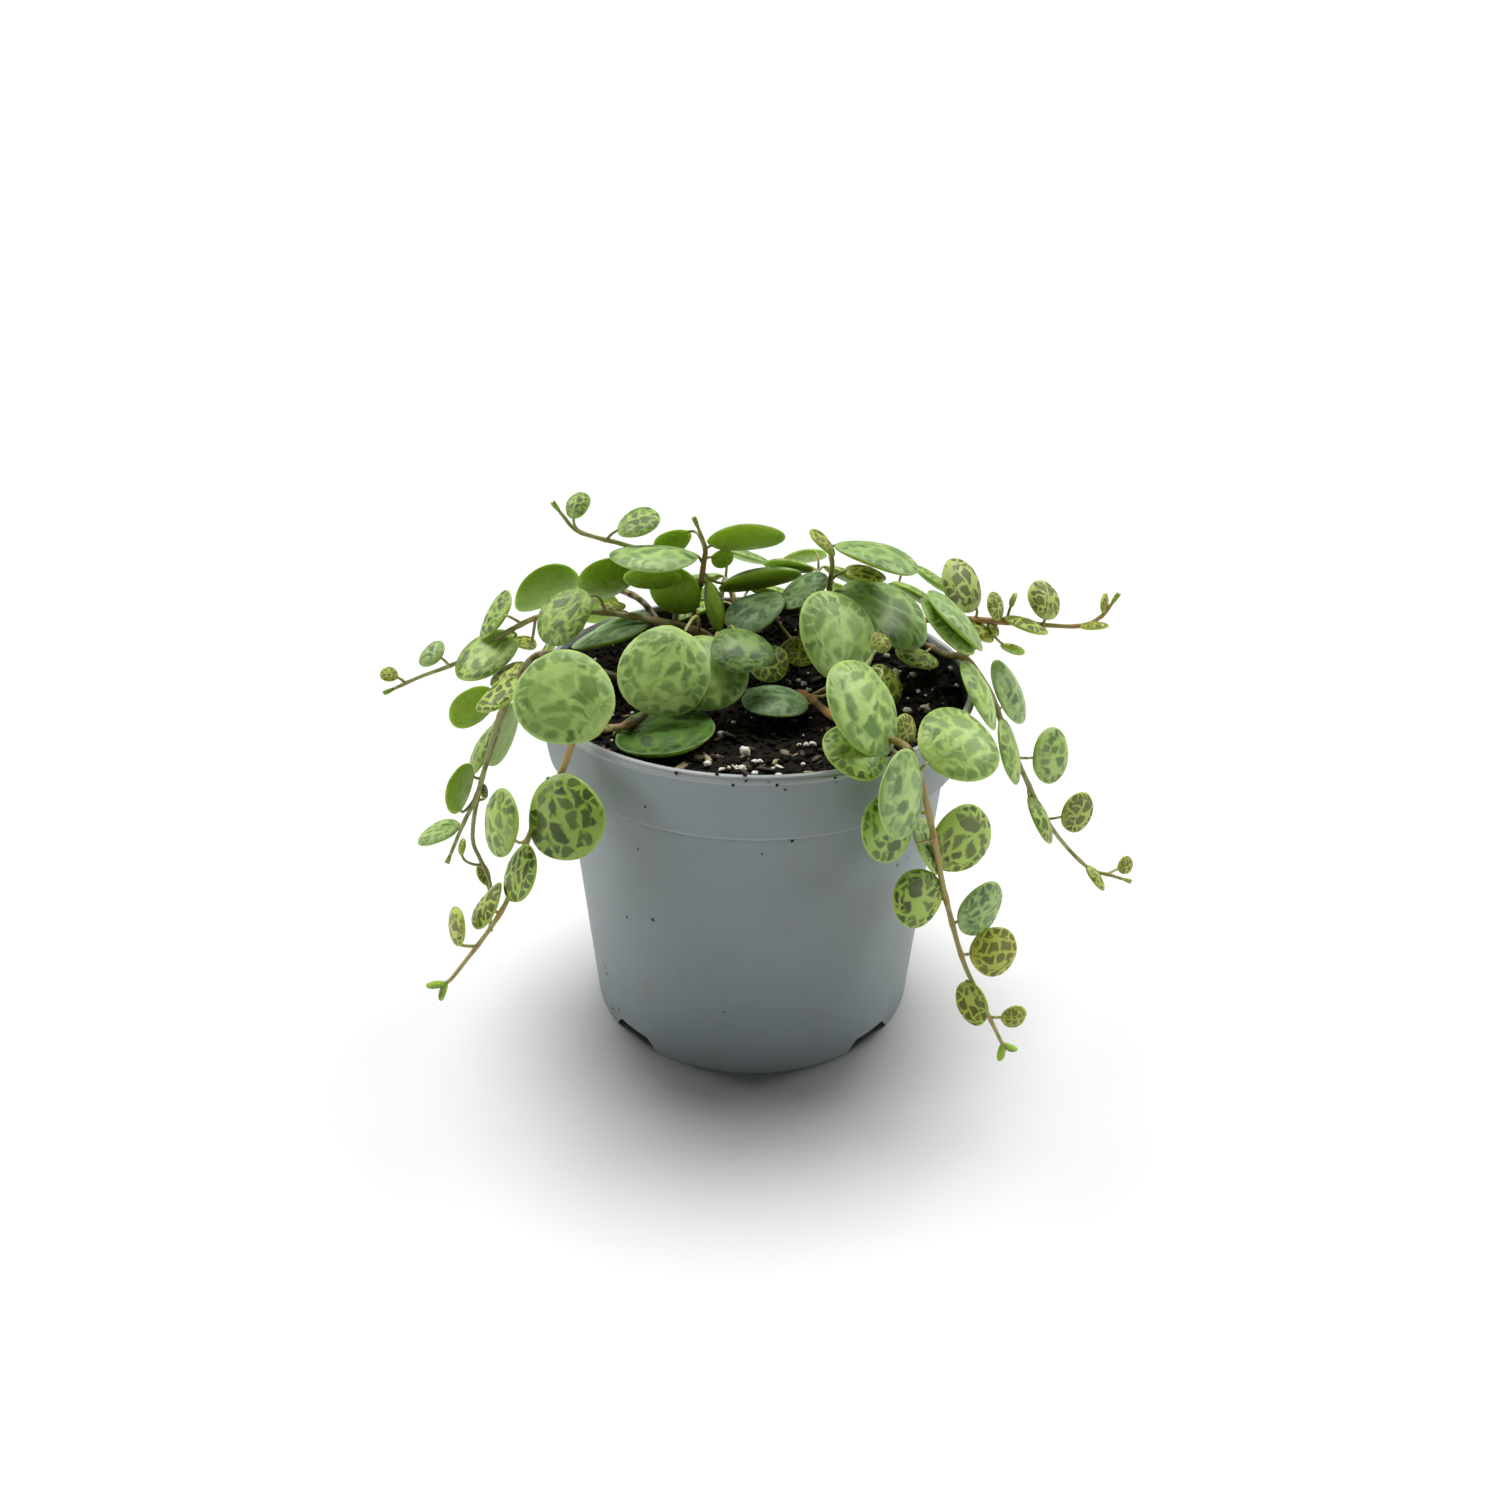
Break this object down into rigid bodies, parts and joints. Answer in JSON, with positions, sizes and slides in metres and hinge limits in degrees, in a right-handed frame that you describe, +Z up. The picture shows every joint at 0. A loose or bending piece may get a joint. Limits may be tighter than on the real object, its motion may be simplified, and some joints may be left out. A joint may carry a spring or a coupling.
{
  "type": "potted peperomia",
  "caption": "Small trailing peperomia with round succulent leaves on runners that spill over the rim of a tapered plastic nursery pot filled with peat.",
  "frame": {"origin": "middle of the pot's underside, on the flat pad that rests on the surface", "axes": "+Z up along the pot's axis, -Y towards the picture's viewer, +X to the picture's right, the way the plant spreads widest"},
  "size_m": [0.1218, 0.0865, 0.0783],
  "materials": {
    "pot_plastic": "plain moulded nursery-pot plastic, blue-grey, satin",
    "peat": "dark moist peat with bark crumbs and white perlite grains",
    "foliage": "waxy succulent leaves, pale green with dark green blotches between pale veins, on olive and tan stems"
  },
  "bodies": {
    "root": {"pot": "pot_plastic", "soil": "peat", "stem_front_left": "foliage", "stem_front_right": "foliage", "stem_right_hanging": "foliage", "stem_right_sprig": "foliage", "stem_left_outer": "foliage", "stem_left_inner": "foliage", "stem_far_left": "foliage", "stem_back_sprig": "foliage", "stem_back_left": "foliage", "stem_upright": "foliage", "stem_right_upright": "foliage", "stem_back_right": "foliage", "stem_back": "foliage", "stem_right_back": "foliage"}
  },
  "joints": []
}
